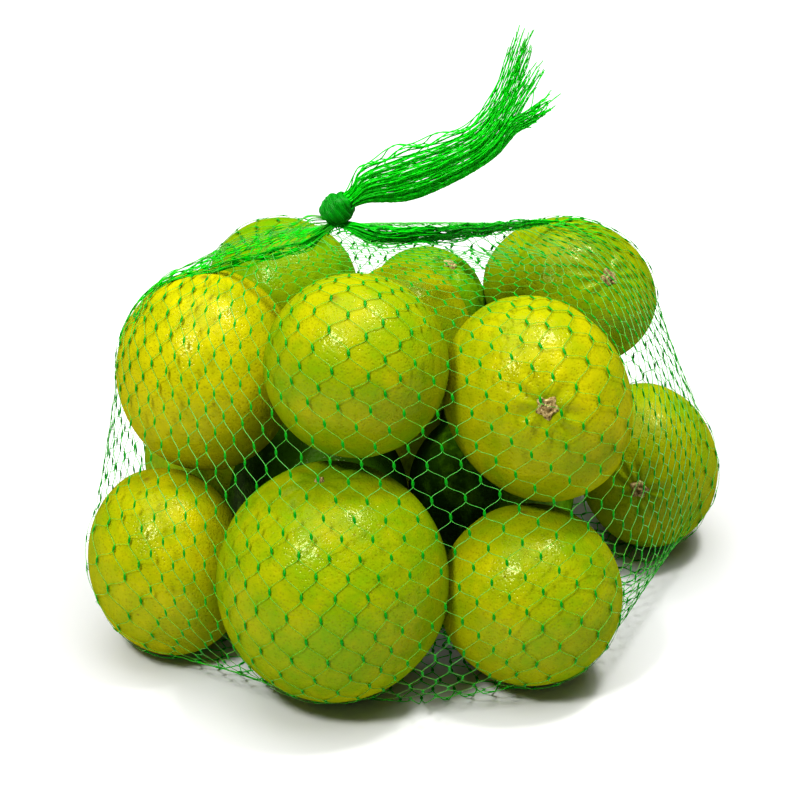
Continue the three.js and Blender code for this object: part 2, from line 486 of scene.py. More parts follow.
def peel_material(settings):
    """Waxy lime peel: broken glints on a pitted skin, mottled from green to yellow."""
    material, tree, output = start_material("waxy lime peel")
    place = add_node(tree, "ShaderNodeTexCoord").outputs["Object"]
    ripeness, stem_side, scar = (
        add_node(tree, "ShaderNodeAttribute", attribute_name=label).outputs["Fac"]
        for label in ("ripeness", "stem_side", "scar")
    )
    mottle = add_node(
        tree,
        "ShaderNodeTexNoise",
        {"Vector": place, "Scale": 1 / (9 * MM), "Detail": 5.0, "Roughness": 0.6},
    )
    spread = add_node(
        tree,
        "ShaderNodeMapRange",
        {"Value": mottle.outputs["Fac"], "From Min": 0.3, "From Max": 0.7, "To Min": -0.2, "To Max": 0.2},
    )
    mixed = add_node(tree, "ShaderNodeMath", {0: ripeness, 1: spread.outputs["Result"]}, operation="ADD")
    ramp = add_node(tree, "ShaderNodeValToRGB", {"Fac": mixed.outputs[0]})
    stops = ramp.color_ramp.elements
    # The deep green at 0 is painted shade for the hidden limes; the other stops are the peel's own colours.
    stops[0].position, stops[0].color = 0.0, (*settings.deep, 1)
    stops[1].position, stops[1].color = 0.94, (*settings.golden, 1)
    for position, colour in ((0.14, settings.unripe), (0.42, settings.turning), (0.7, settings.ripe)):
        stops.new(position).color = (*colour, 1)
    pores = add_node(
        tree, "ShaderNodeTexVoronoi", {"Vector": place, "Scale": 1 / settings.pore, "Randomness": 0.9}
    )
    pit = add_node(
        tree,
        "ShaderNodeMapRange",
        {"Value": pores.outputs["Distance"], "From Min": 0.0, "From Max": 0.5},
        interpolation_type="SMOOTHSTEP",
    )
    # The peel is darker in the middle of each pore, where the bump sinks it.
    pored = add_node(
        tree,
        "ShaderNodeMix",
        {"Factor": pit.outputs["Result"], "B": ramp.outputs["Color"]},
        data_type="RGBA",
    )
    shade = add_node(
        tree,
        "ShaderNodeHueSaturation",
        {"Hue": 0.49, "Value": 0.8, "Color": ramp.outputs["Color"]},
    )
    tree.links.new(shade.outputs["Color"], pored.inputs["A"])
    # Small brown flecks, and the dark dry scar where the flower was.
    flecks = add_node(
        tree, "ShaderNodeTexVoronoi", {"Vector": place, "Scale": 1 / (7.5 * MM), "Randomness": 1.0}
    )
    fleck = add_node(
        tree,
        "ShaderNodeMapRange",
        {
            "Value": flecks.outputs["Distance"],
            "From Min": 0.03,
            "From Max": 0.065,
            "To Min": 0.55,
            "To Max": 0.0,
        },
    )
    marks = add_node(tree, "ShaderNodeMath", {0: fleck.outputs["Result"], 1: scar}, operation="MAXIMUM")
    marked = add_node(
        tree,
        "ShaderNodeMix",
        {"Factor": marks.outputs[0], "A": pored.outputs["Result"], "B": (*linear("#6A5A18"), 1)},
        data_type="RGBA",
    )
    # Round a stem end the peel is mixed towards a dark green: partly its own greener colour, partly painted
    # shade in the hollow.
    greened_and_shaded = add_node(
        tree,
        "ShaderNodeMix",
        {"Factor": stem_side, "A": marked.outputs["Result"], "B": (*linear("#5C7C08"), 1)},
        data_type="RGBA",
    )
    swell = add_node(
        tree, "ShaderNodeTexNoise", {"Vector": place, "Scale": 1 / (2.4 * MM), "Detail": 3.0}
    )
    low = add_node(
        tree,
        "ShaderNodeBump",
        {"Strength": 0.5, "Distance": 0.5 * MM, "Height": swell.outputs["Fac"]},
    )
    bump = add_node(
        tree,
        "ShaderNodeBump",
        {
            "Strength": 0.5,
            "Distance": 0.16 * MM,
            "Height": pit.outputs["Result"],
            "Normal": low.outputs["Normal"],
        },
    )
    surface = add_node(
        tree,
        "ShaderNodeBsdfPrincipled",
        {
            "Base Color": greened_and_shaded.outputs["Result"],
            "Roughness": 0.6,
            "Specular IOR Level": 0.0,
            "Normal": bump.outputs["Normal"],
        },
    )
    # Pits break up the wax's shine, so that it doesn't grow towards the edges of the fruit.
    wax = add_node(
        tree,
        "ShaderNodeBsdfGlossy",
        {"Color": (*linear("#FFFFD8"), 1), "Roughness": 0.17, "Normal": bump.outputs["Normal"]},
    )
    waxed = add_node(tree, "ShaderNodeMixShader", {"Fac": 0.01})
    tree.links.new(surface.outputs["BSDF"], waxed.inputs[1])
    tree.links.new(wax.outputs["BSDF"], waxed.inputs[2])
    tree.links.new(waxed.outputs["Shader"], output.inputs["Surface"])
    return material


def stem_material(settings):
    """Dry woody stem end: matt, fibrous, tan with darker cracks."""
    material, tree, output = start_material("dry lime stem end")
    place = add_node(tree, "ShaderNodeTexCoord").outputs["Object"]
    fibres = add_node(
        tree,
        "ShaderNodeTexNoise",
        {"Vector": place, "Scale": 1 / (0.9 * MM), "Detail": 4.0, "Roughness": 0.7},
    )
    ramp = add_node(tree, "ShaderNodeValToRGB", {"Fac": fibres.outputs["Fac"]})
    stops = ramp.color_ramp.elements
    stops[0].position, stops[0].color = 0.34, (*linear("#4E4018"), 1)
    stops[1].position, stops[1].color = 0.66, (*linear("#CDB988"), 1)
    stops.new(0.5).color = (*settings.stem_colour, 1)
    bump = add_node(
        tree,
        "ShaderNodeBump",
        {"Strength": 0.8, "Distance": 0.3 * MM, "Height": fibres.outputs["Fac"]},
    )
    surface = add_node(
        tree,
        "ShaderNodeBsdfPrincipled",
        {
            "Base Color": ramp.outputs["Color"],
            "Roughness": 0.85,
            "Specular IOR Level": 0.2,
            "Normal": bump.outputs["Normal"],
        },
    )
    tree.links.new(surface.outputs["BSDF"], output.inputs["Surface"])
    return material


def net_material(settings):
    """Drawn plastic netting: smooth saturated green; thin strands on the peel take a green darkened as
    painted shade, and thin strands that hang clear take a paler green as a painted highlight.
    """
    name = "drawn plastic netting"
    if name in bpy.data.materials:
        return bpy.data.materials[name]
    material, tree, output = start_material(name)
    girth, clear = (
        add_node(tree, "ShaderNodeAttribute", attribute_name=label).outputs["Fac"]
        for label in ("girth", "clear")
    )
    full = add_node(tree, "ShaderNodeMapRange", {"Value": girth, "From Min": 0.95, "From Max": 1.3})
    thick = add_node(tree, "ShaderNodeMapRange", {"Value": girth, "From Min": 1.8, "From Max": 2.0})
    # A thin drawn strand lets most light through; a junction and a bunch of strands do not.
    cover = add_node(
        tree,
        "ShaderNodeMapRange",
        {"Value": girth, "From Min": 0.9, "From Max": 1.35, "To Min": 0.48, "To Max": 1.0},
    )
    taut = add_node(tree, "ShaderNodeMath", {0: clear, 1: 0.85}, operation="MULTIPLY")
    dense = add_node(
        tree, "ShaderNodeMath", {0: cover.outputs["Result"], 1: taut.outputs[0]}, operation="MAXIMUM"
    )
    # Painted highlight and shade: strands that hang clear take the glint's green, strands on the peel the
    # darkened drawn green.
    thin = add_node(
        tree,
        "ShaderNodeMix",
        {"Factor": clear, "A": (*settings.drawn, 1), "B": (*settings.glint, 1)},
        data_type="RGBA",
    )
    strand = add_node(
        tree,
        "ShaderNodeMix",
        {"Factor": full.outputs["Result"], "A": thin.outputs["Result"], "B": (*settings.bunched, 1)},
        data_type="RGBA",
    )
    colour = add_node(
        tree,
        "ShaderNodeMix",
        {"Factor": thick.outputs["Result"], "A": strand.outputs["Result"], "B": (*settings.plastic, 1)},
        data_type="RGBA",
    )
    surface = add_node(
        tree,
        "ShaderNodeBsdfPrincipled",
        {
            "Base Color": colour.outputs["Result"],
            "Roughness": 0.35,
            "Specular IOR Level": 0.2,
            "Subsurface Weight": 0.35,
            "Subsurface Radius": (0.2, 1.0, 0.2),
            "Subsurface Scale": 0.8 * MM,
            "Alpha": dense.outputs[0],
        },
    )
    # Light also shines through a bunch, so that it glows evenly.
    through = add_node(tree, "ShaderNodeBsdfTranslucent", {"Color": colour.outputs["Result"]})
    share = add_node(tree, "ShaderNodeMath", {0: full.outputs["Result"], 1: 0.3}, operation="MULTIPLY")
    mixed = add_node(tree, "ShaderNodeMixShader", {"Fac": share.outputs[0]})
    tree.links.new(surface.outputs["BSDF"], mixed.inputs[1])
    tree.links.new(through.outputs["BSDF"], mixed.inputs[2])
    tree.links.new(mixed.outputs["Shader"], output.inputs["Surface"])
    return material


def floor_material(settings):
    """Matt white studio paper."""
    material, tree, output = start_material("white studio paper")
    surface = add_node(
        tree,
        "ShaderNodeBsdfPrincipled",
        {"Base Color": (*settings.floor, 1), "Roughness": 0.9, "Specular IOR Level": 0.1},
    )
    tree.links.new(surface.outputs["BSDF"], output.inputs["Surface"])
    return material


def add_mesh(name, points, faces, edges=(), **attributes):
    """A mesh at the origin in metres, with one named number or vector for each point."""
    mesh = bpy.data.meshes.new(name)
    mesh.from_pydata([tuple(p) for p in points], edges, faces)
    for label, values in attributes.items():
        values = np.asarray(values, dtype=np.float32)
        if values.ndim == 2:
            mesh.attributes.new(label, "FLOAT_VECTOR", "POINT").data.foreach_set("vector", values.ravel())
        else:
            mesh.attributes.new(label, "FLOAT", "POINT").data.foreach_set("value", values)
    mesh.update()
    return mesh


def add_object(name, data):
    """A new object in the scene."""
    made = bpy.data.objects.new(name, data)
    bpy.context.scene.collection.objects.link(made)
    return made


def add_aimed(name, data, at):
    """A lamp or camera at a place, turned towards the object."""
    made = add_object(name, data)
    made.location = at
    made.rotation_euler = (AIM - Vector(at)).to_track_quat("-Z", "Y").to_euler()
    return made


def add_piece(name, mesh, material, node):
    """Links a finished piece that takes a solid's place."""
    if not mesh.polygons:
        raise RuntimeError(f"{name} came out empty")
    mesh.materials.clear()
    mesh.materials.append(material)
    mesh.shade_smooth()
    piece = add_object(name, mesh)
    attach(piece, "root")
    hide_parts(node)


def icosphere(subdivisions):
    """Points and triangles of a ball of radius one."""
    ball = bmesh.new()
    bmesh.ops.create_icosphere(ball, subdivisions=subdivisions, radius=1.0)
    points = np.array([v.co[:] for v in ball.verts])
    faces = [[v.index for v in f.verts] for f in ball.faces]
    ball.free()
    return points, faces


def lime_axes(name):
    """Middle, half diameters and axes of a lime, in millimetres."""
    at, sizes, turn, _, _ = LIMES[name]
    angle = math.radians(turn)
    along = math.cos(angle) * RIGHT - math.sin(angle) * UP
    across = math.sin(angle) * RIGHT + math.cos(angle) * UP
    return np.array(at, float), np.array(sizes, float) / 2, np.array([along, across, AWAY])


def stem_way(name):
    """Unit vector from a lime's middle towards its stem."""
    right, up, front = LIMES[name][3]
    return unit(right * RIGHT + up * UP - front * AWAY)


def ripples(ways, rng, low, high, count):
    """Smooth random swell over a sphere of directions, about -1 to 1."""
    total = np.zeros(len(ways))
    for _ in range(count):
        wave = unit(rng.normal(size=3)) * rng.uniform(low, high)
        total += np.sin(ways @ wave + rng.uniform(0, 2 * math.pi))
    return total / math.sqrt(count) / 1.2


def lime_mesh(name, seed, sphere, faces, settings):
    """One lime: uneven ellipsoid with a stem hollow, furrows round it and a flower scar."""
    rng = np.random.default_rng(seed)
    middle, half, axes = lime_axes(name)
    stem = unit((axes @ stem_way(name)) / half)
    beside = unit(np.cross(stem, [0.31, 0.87, 0.38]))
    round_stem = np.arctan2(sphere @ np.cross(stem, beside), sphere @ beside)
    from_stem = np.arccos(np.clip(sphere @ stem, -1, 1))
    from_scar = math.pi - from_stem
    lumps = ripples(sphere, rng, 1.5, 3.5, 6)
    swells = ripples(sphere, rng, 7, 13, 10)
    furrows = 0.5 + 0.5 * np.cos(FURROWS * round_stem + 1.4 * np.sin(2 * round_stem + seed))
    uneven = settings.unevenness / MM
    height = -uneven * (0.5 - 0.5 * np.clip(lumps, -1, 1)) - 0.1 * (1 - np.clip(swells, -1, 1))
    height -= STEM_HOLLOW * bell(from_stem, STEM_HOLLOW_SPREAD)
    height -= FURROW * furrows * bell(from_stem - FURROW_AT, FURROW_SPREAD)
    height += NIPPLE * bell(from_scar, NIPPLE_SPREAD) - NIPPLE_RING * bell(from_scar, NIPPLE_RING_SPREAD)
    reach = np.linalg.norm(sphere * half, axis=1)
    points = middle + ((sphere * half) * (1 + height / reach)[:, None]) @ axes
    leaning = unit(rng.normal(size=3))
    ripeness = LIMES[name][4] + 0.05 * (sphere @ leaning) + 0.07 * ripples(sphere, rng, 2, 6, 8)
    return add_mesh(
        name,
        points * MM,
        faces,
        ripeness=ripeness,
        stem_side=0.45 * bell(from_stem, GREEN_AND_SHADE_SPREAD),
        scar=0.85 * bell(from_scar, SCAR_SPREAD),
    )


class LIMES_OT_fruit(bpy.types.Operator):
    """Adds the sixteen limes, each uneven in its own way"""

    bl_idname = "limes.fruit"
    bl_label = "Add Limes"

    def execute(self, context):
        settings = context.scene.lime_fruit
        material = peel_material(settings)
        sphere, faces = icosphere(6)
        for seed, name in enumerate(LIMES):
            mesh = lime_mesh(name, seed + FRUIT_SEED, sphere, faces, settings)
            add_piece(name, mesh, material, "net_bag")
        return {"FINISHED"}


class LIMES_OT_stems(bpy.types.Operator):
    """Adds the dry woody button at each lime's stem end"""

    bl_idname = "limes.stems"
    bl_label = "Add Stem Ends"

    def execute(self, context):
        settings = context.scene.lime_fruit
        rings, spokes = 9, 40
        turn = np.arange(spokes) * 2 * math.pi / spokes
        points, faces = [], []
        for seed, name in enumerate(LIMES):
            rng = np.random.default_rng(seed + STEM_SEED)
            middle, half, axes = lime_axes(name)
            way = stem_way(name)
            side = unit(np.cross(way, [0.31, 0.87, 0.38]))
            other = np.cross(way, side)
            skin = 1 / np.linalg.norm((axes @ way) / half)
            broad = STEM_BREADTHS.get(name, settings.stem_breadth / MM * rng.uniform(0.85, 1.1)) / 2
            lobes = 1 + 0.2 * np.cos(5 * turn + rng.uniform(0, 6))
            lobes += 0.09 * np.sin(3 * turn + rng.uniform(0, 6))
            first = len(points)
            for ring in range(rings):
                out = ring / (rings - 1)
                # A low stub in the middle, a groove round it, then a lobed rim that thins out.
                level = 0.9 * math.exp(-((out / 0.3) ** 6)) + 0.55 * math.exp(-(((out - 0.66) / 0.2) ** 2))
                level -= 0.9 * max(0.0, out - 0.85) / 0.15
                rough = rng.normal(0, 0.1, spokes) * (1 if ring else 0)
                spread = broad * out * (1 + (lobes - 1) * out)
                up = skin - STEM_FOOT + level + rough
                offset = spread[:, None] * (np.cos(turn)[:, None] * side + np.sin(turn)[:, None] * other)
                points.extend(middle + way * up[:, None] + offset)
            for ring in range(rings - 1):
                for spoke in range(spokes):
                    inner = first + ring * spokes
                    outer = inner + spokes
                    after = (spoke + 1) % spokes
                    faces.append((inner + spoke, outer + spoke, outer + after, inner + after))
        mesh = add_mesh("lime_stem_ends", np.array(points) * MM, faces)
        add_piece("lime_stem_ends", mesh, stem_material(settings), "net_bag")
        return {"FINISHED"}


def netting_tree():
    """Node tree that gives strands their thickness and puts a bar on every junction."""
    label = "netting"
    if label in bpy.data.node_groups:
        return bpy.data.node_groups[label]
    tree = bpy.data.node_groups.new(label, "GeometryNodeTree")
    sockets = {
        "Geometry": "NodeSocketGeometry",
        "Strand radius": "NodeSocketFloat",
        "Junction size": "NodeSocketVector",
        "Junction girth": "NodeSocketFloat",
        "Plastic": "NodeSocketMaterial",
    }
    for socket, kind in sockets.items():
        tree.interface.new_socket(socket, in_out="INPUT", socket_type=kind)
    tree.interface.new_socket("Geometry", in_out="OUTPUT", socket_type="NodeSocketGeometry")
    given = add_node(tree, "NodeGroupInput").outputs
    named = {}
    kinds = {"girth": "FLOAT", "along": "FLOAT_VECTOR", "outward": "FLOAT_VECTOR", "junction": "FLOAT"}
    for attribute, kind in kinds.items():
        reader = add_node(tree, "GeometryNodeInputNamedAttribute", {"Name": attribute}, data_type=kind)
        named[attribute] = reader.outputs["Attribute"]
    is_bar = add_node(
        tree,
        "FunctionNodeCompare",
        {"A": named["junction"], "B": 0.01},
        data_type="FLOAT",
        operation="GREATER_THAN",
    )
    lines = add_node(tree, "GeometryNodeMeshToCurve", {"Mesh": given["Geometry"]})
    section = add_node(
        tree, "GeometryNodeCurvePrimitiveCircle", {"Resolution": 4, "Radius": given["Strand radius"]}
    )
    strands = add_node(
        tree,
        "GeometryNodeCurveToMesh",
        {
            "Curve": lines.outputs["Curve"],
            "Profile Curve": section.outputs["Curve"],
            "Scale": named["girth"],
            "Fill Caps": True,
        },
    )
    ball = add_node(tree, "GeometryNodeMeshUVSphere", {"Segments": 6, "Rings": 5, "Radius": 1.0})
    bar = add_node(
        tree,
        "GeometryNodeTransform",
        {"Geometry": ball.outputs["Mesh"], "Scale": given["Junction size"]},
    )
    lengthwise = add_node(
        tree, "FunctionNodeAlignRotationToVector", {"Vector": named["along"]}, axis="Z"
    )
    facing = add_node(
        tree,
        "FunctionNodeAlignRotationToVector",
        {"Rotation": lengthwise.outputs["Rotation"], "Vector": named["outward"]},
        axis="Y",
        pivot_axis="Z",
    )
    bars = add_node(
        tree,
        "GeometryNodeInstanceOnPoints",
        {
            "Points": given["Geometry"],
            "Selection": is_bar.outputs["Result"],
            "Instance": bar.outputs["Geometry"],
            "Rotation": facing.outputs["Rotation"],
            "Scale": named["junction"],
        },
    )
    solid = add_node(tree, "GeometryNodeRealizeInstances", {"Geometry": bars.outputs["Instances"]})
    heavy = add_node(
        tree,
        "GeometryNodeStoreNamedAttribute",
        {"Geometry": solid.outputs["Geometry"], "Name": "girth", "Value": given["Junction girth"]},
        data_type="FLOAT",
        domain="POINT",
    )
    joined = add_node(tree, "GeometryNodeJoinGeometry", {"Geometry": strands.outputs["Mesh"]})
    tree.links.new(heavy.outputs["Geometry"], joined.inputs["Geometry"])
    real = add_node(tree, "GeometryNodeRealizeInstances", {"Geometry": joined.outputs["Geometry"]})
    coloured = add_node(
        tree,
        "GeometryNodeSetMaterial",
        {"Geometry": real.outputs["Geometry"], "Material": given["Plastic"]},
    )
    add_node(tree, "NodeGroupOutput", {"Geometry": coloured.outputs["Geometry"]})
    return tree


class Netting:
    """Strands (runs of points with a girth) and junction bars, in millimetres."""

    def __init__(self):
        self.points, self.girths, self.clears, self.edges = [], [], [], []
        self.bars, self.alongs, self.outwards, self.sizes = [], [], [], []

    def add_strands(self, runs, girths, clears=0.0):
        """Adds many strands of the same number of points; clear is 1 where nothing is close behind."""
        count, steps, _ = runs.shape
        first = sum(len(p) for p in self.points)
        self.points.append(runs.reshape(-1, 3))
        self.girths.append(np.broadcast_to(girths, (count, steps)).reshape(-1))
        self.clears.append(np.broadcast_to(clears, (count, steps)).reshape(-1))
        start = first + np.arange(count)[:, None] * steps + np.arange(steps - 1)[None, :]
        self.edges.append(np.stack([start, start + 1], axis=-1).reshape(-1, 2))

    def add_bars(self, at, along, outward, sizes):
        """Adds a bar at each junction."""
        self.bars.append(at)
        self.alongs.append(along)
        self.outwards.append(outward)
        self.sizes.append(np.broadcast_to(sizes, len(at)))

    def mesh(self, name, settings, material, junction_girth=2.0):
        """The finished mesh of strands and bars; the bars' girth decides how deep their green is."""
        points = np.concatenate(self.points)
        girths = np.concatenate(self.girths)
        bars = np.concatenate([np.zeros((0, 3))] + self.bars)
        empty = np.zeros((len(points), 3))
        carrier = add_mesh(
            name + ".lines",
            np.concatenate([points, bars]) * MM,
            [],
            [tuple(e) for e in np.concatenate(self.edges).tolist()],
            girth=np.concatenate([girths, np.ones(len(bars))]),
            clear=np.concatenate(self.clears + [np.zeros(len(bars))]),
            along=np.concatenate([empty] + self.alongs),
            outward=np.concatenate([empty] + self.outwards),
            junction=np.concatenate([np.zeros(len(points))] + self.sizes),
        )
        holder = add_object(name + ".lines", carrier)
        tree = netting_tree()
        modifier = holder.modifiers.new("netting", "NODES")
        modifier.node_group = tree
        values = {
            "Strand radius": settings.strand,
            "Junction size": (settings.junction_broad, settings.junction_deep, settings.junction_long),
            "Junction girth": junction_girth,
            "Plastic": material,
        }
        for item in tree.interface.items_tree:
            if item.in_out == "INPUT" and item.name in values:
                modifier[item.identifier] = values[item.name]
        ready = holder.evaluated_get(bpy.context.evaluated_depsgraph_get())
        mesh = bpy.data.meshes.new_from_object(ready)
        holder.modifiers.clear()
        bpy.data.objects.remove(holder)
        bpy.data.meshes.remove(carrier)
        mesh.name = name
        return mesh


def taut_reach(ways):
    """How far the tightest skin round the limes, neck and slack reaches from the bag's middle."""
    sphere, _ = icosphere(4)
    clouds = []
    for middle, half, axes in map(lime_axes, LIMES):
        clouds.append(middle + (sphere * (half + NET_CLEARANCE)) @ axes)
    clouds += [np.array(at) + SLACK_RADIUS * sphere for at in SLACK]
    clouds.append(NECK_AT + NECK_RADIUS * sphere * np.array([1.0, 1.0, 0.3]))
    skin = bmesh.new()
    for point in np.concatenate(clouds):
        skin.verts.new(point)
    bmesh.ops.convex_hull(skin, input=skin.verts)
    skin.normal_update()
    normals = np.array([face.normal[:] for face in skin.faces])
    corners = np.array([face.verts[0].co[:] for face in skin.faces])
    skin.free()
    gaps = ((corners - BAG_MIDDLE) * normals).sum(axis=1)
    reaches = []
    for part in np.array_split(ways, 20):
        rise = part @ (normals * np.sign(gaps)[:, None]).T
        reaches.append(np.where(rise > 1e-6, np.abs(gaps) / np.maximum(rise, 1e-6), np.inf).min(axis=1))
    return np.concatenate(reaches)


def bag_surface():
    """Search tree over the netting's surface: taut from lime to lime, then settled (millimetres)."""
    ways, faces = icosphere(6)
    points = BAG_MIDDLE + ways * taut_reach(ways)[:, None]
    corners = np.array(faces)
    ends = np.concatenate([corners[:, [0, 1]], corners[:, [1, 2]], corners[:, [2, 0]]])
    count = np.bincount(ends[:, 0], minlength=len(points))
    held = (points[:, 2] < 0.3) | (np.linalg.norm(points - NECK_AT, axis=1) < 1.1 * NECK_RADIUS)
    for _ in range(SETTLES):
        sums = [np.bincount(ends[:, 0], points[ends[:, 1], k], len(points)) for k in range(3)]
        mean = np.stack(sums, axis=-1) / count[:, None]
        points = np.where(held[:, None], points, mean)
        for middle, half, axes in map(lime_axes, LIMES):
            local = ((points - middle) @ axes.T) / (half + NET_CLEARANCE)
            depth = np.linalg.norm(local, axis=1)
            inside = depth < 1
            out = local[inside] / depth[inside][:, None]
            points[inside] = middle + (out * (half + NET_CLEARANCE)) @ axes
    points[:, 2] = np.maximum(points[:, 2], 0.0)
    return BVHTree.FromPolygons(points.tolist(), faces)


def on_surface(tree, points):
    """The nearest places on the netting's surface and its outward way there."""
    found = [tree.find_nearest(Vector(p))[:2] for p in points.reshape(-1, 3)]
    places = np.array([f[0] for f in found]).reshape(points.shape)
    normals = np.array([f[1] for f in found]).reshape(points.shape)
    return places, normals


def drawn_on(points):
    """Pulls netting that is close over a lime down onto its peel; also its distance from there before."""
    flat = points.reshape(-1, 3)
    best = np.full(len(flat), 1e9)
    ways = np.zeros_like(flat)
    for middle, half, axes in map(lime_axes, LIMES):
        local = ((flat - middle) @ axes.T) / half
        size = np.linalg.norm(local, axis=1)
        slope = local / half
        gap = size * (size - 1) / np.maximum(np.linalg.norm(slope, axis=1), 1e-9)
        nearer = gap < best
        best[nearer] = gap[nearer]
        ways[nearer] = unit(slope[nearer] @ axes)
    drawn = np.maximum(best * (np.maximum(best, 0.01) / CLING) ** 1.2, CLING_HEIGHT)
    wanted = np.where(best < CLING, drawn, best)
    moved = flat + ways * (wanted - best)[:, None]
    return moved.reshape(points.shape), best.reshape(points.shape[:-1])


def even_points(line, count):
    """Even points along a line of points, and its length."""
    places = np.concatenate([[0], np.cumsum(np.linalg.norm(np.diff(line, axis=0), axis=1))])
    even = np.linspace(0, places[-1], count)
    return np.stack([np.interp(even, places, line[:, k]) for k in range(3)], axis=-1), places[-1]


def smooth_run(controls, count):
    """Even points along a smooth curve through control points, and its length."""
    padded = np.concatenate([[2 * controls[0] - controls[1]], controls, [2 * controls[-1] - controls[-2]]])
    u = np.linspace(0, 1, 12, endpoint=False)[:, None]
    parts = []
    for a, b, c, d in zip(padded, padded[1:], padded[2:], padded[3:]):
        square = 2 * a - 5 * b + 4 * c - d
        cube = 3 * b - a - 3 * c + d
        parts.append(0.5 * (2 * b + (c - a) * u + square * u**2 + cube * u**3))
    return even_points(np.concatenate(parts + [controls[-1:]]), count)


def fold_line():
    """Even points along the fold, its length and the place of the knot along it, 0 to 1."""
    line, length = smooth_run(np.array(FOLD), 400)
    knot = np.argmin(np.linalg.norm(line - np.array(FOLD[FOLD_KNOT]), axis=1))
    return line, length, knot / (len(line) - 1)


def on_line(line, place):
    """Point at a place from 0 to 1 along an even line."""
    index = np.clip(place, 0, 1) * (len(line) - 1)
    low = min(int(index), len(line) - 2)
    return line[low] + (line[low + 1] - line[low]) * (index - low)


def column_start(share_round, fold):
    """Place along the fold where a column leaves it, the point there and the angle it hangs towards."""
    if share_round < FRONT_SHARE:
        stations, _ = smooth_run(np.array(FRONT_COLUMNS), 200)
        place, turn = (np.interp(share_round / FRONT_SHARE, stations[:, 0], stations[:, k]) for k in (1, 2))
    else:
        share = (share_round - FRONT_SHARE) / (1 - FRONT_SHARE)
        left, right = FRONT_COLUMNS[0][2], FRONT_COLUMNS[-1][2] - 360
        place = 1 - share
        turn = right + (left - right) * (share + 0.12 * math.sin(2 * math.pi * share))
    return place, on_line(fold, place), math.radians(turn)


def column_lines(settings, tree):
    """Lines down the bag and their lengths, one for each half column, from the fold to the base."""
    fold = fold_line()[0]
    u = np.linspace(0, 1, 150)[:, None]
    lines, lengths = [], []
    for half in range(2 * settings.columns):
        _, start, turn = column_start(half / settings.columns / 2, fold)
        lead = unit(start - BAG_MIDDLE)
        # Half way down, the line has reached its compass angle.
        waist = np.array([2.8 * math.cos(turn) - lead[0], 2.8 * math.sin(turn) - lead[1], -0.28])
        ways = unit((1 - u) ** 2 * lead + u * (1 - u) * waist + u**2 * np.array([0.0, 0.0, -1.0]))
        line = [start]
        for way in ways[1:]:
            hit = tree.ray_cast(Vector(BAG_MIDDLE), Vector(way))[0]
            if hit is None:
                raise RuntimeError("a line down the bag misses its surface")
            line.append(np.array(hit))
        line, length = even_points(np.array(line), 300)
        lines.append(line)
        lengths.append(length)
    return np.array(lines), np.array(lengths)


def along_lines(lines, lengths, places):
    """Points and directions at a distance down each line."""
    index = np.clip(places / lengths, 0, 1) * (lines.shape[1] - 1)
    low = np.minimum(index.astype(int), lines.shape[1] - 2)
    pick = np.arange(len(lines))
    a, b = lines[pick, low], lines[pick, low + 1]
    return a + (b - a) * (index - low)[:, None], unit(b - a)


def bag_lattice(settings, tree):
    """Junctions by row and half column: places, ways down, which are real, and the tops of the lines."""
    lines, lengths = column_lines(settings, tree)
    halves = len(lines)
    pitch = settings.pitch / MM
    waist = np.array([np.argmax(line[:, 2] < WAIST) / (len(line) - 1) for line in lines]) * lengths
    steps = {}
    for way in (-1, 1):
        places, row = waist.copy(), 0
        while ((places > FOLD_ROOM) & (places < lengths - BASE_ROOM)).any():
            points = along_lines(lines, lengths, places)[0]
            steps[row] = places.copy()
            width = np.linalg.norm(np.roll(points, -1, axis=0) - np.roll(points, 1, axis=0), axis=1)
            width = np.mean([np.roll(width, k) for k in range(-4, 5)], axis=0)
            size = pitch * pleated(points)
            places = places + way * np.sqrt(np.maximum(size**2 - (width / 2) ** 2, (0.5 * size) ** 2))
            row += way
    rng = np.random.default_rng(LATTICE_SEED)
    wave = np.random.default_rng(WANDER_SEED)
    turn = np.arange(halves) * 2 * math.pi / halves
    rows = sorted(steps)
    ring = np.stack([2 * np.cos(turn), 2 * np.sin(turn), np.zeros(halves)], axis=-1)
    rings = np.concatenate([ring + [0.0, 0.0, 0.3 * row] for row in rows])
    wander = ripples(rings, wave, 1, 4, 8).reshape(len(rows), halves)
    grid, down, valid = [], [], []
    for index, row in enumerate(rows):
        points, ways = along_lines(lines, lengths, steps[row])
        across = np.roll(points, -1, axis=0) - np.roll(points, 1, axis=0)
        lean = 0.1 * wander[index] + rng.normal(0, 0.02, halves)
        grid.append(points + across * lean[:, None] + ways * rng.normal(0, 0.06, (halves, 1)))
        down.append(ways)
        real = (np.arange(halves) + row) % 2 == 0
        valid.append(real & (steps[row] > FOLD_ROOM) & (steps[row] < lengths - BASE_ROOM))
    grid, down = eased(np.array(grid), np.array(valid), pitch, tree), np.array(down)
    # A bar points along the middle of its four strands.
    below = np.roll(grid[2:], 1, axis=1) + np.roll(grid[2:], -1, axis=1)
    above = np.roll(grid[:-2], 1, axis=1) + np.roll(grid[:-2], -1, axis=1)
    down[1:-1] = unit(down[1:-1] + 2 * unit(below - above))
    return grid, down, np.array(valid), lines[:, 0]


def pleated(points):
    """How small the cells look, as a share of their full size: less near the neck."""
    return np.clip(0.3 + 0.7 * np.linalg.norm(points - NECK_AT, axis=-1) / PLEATED, 0.3, 1.0)


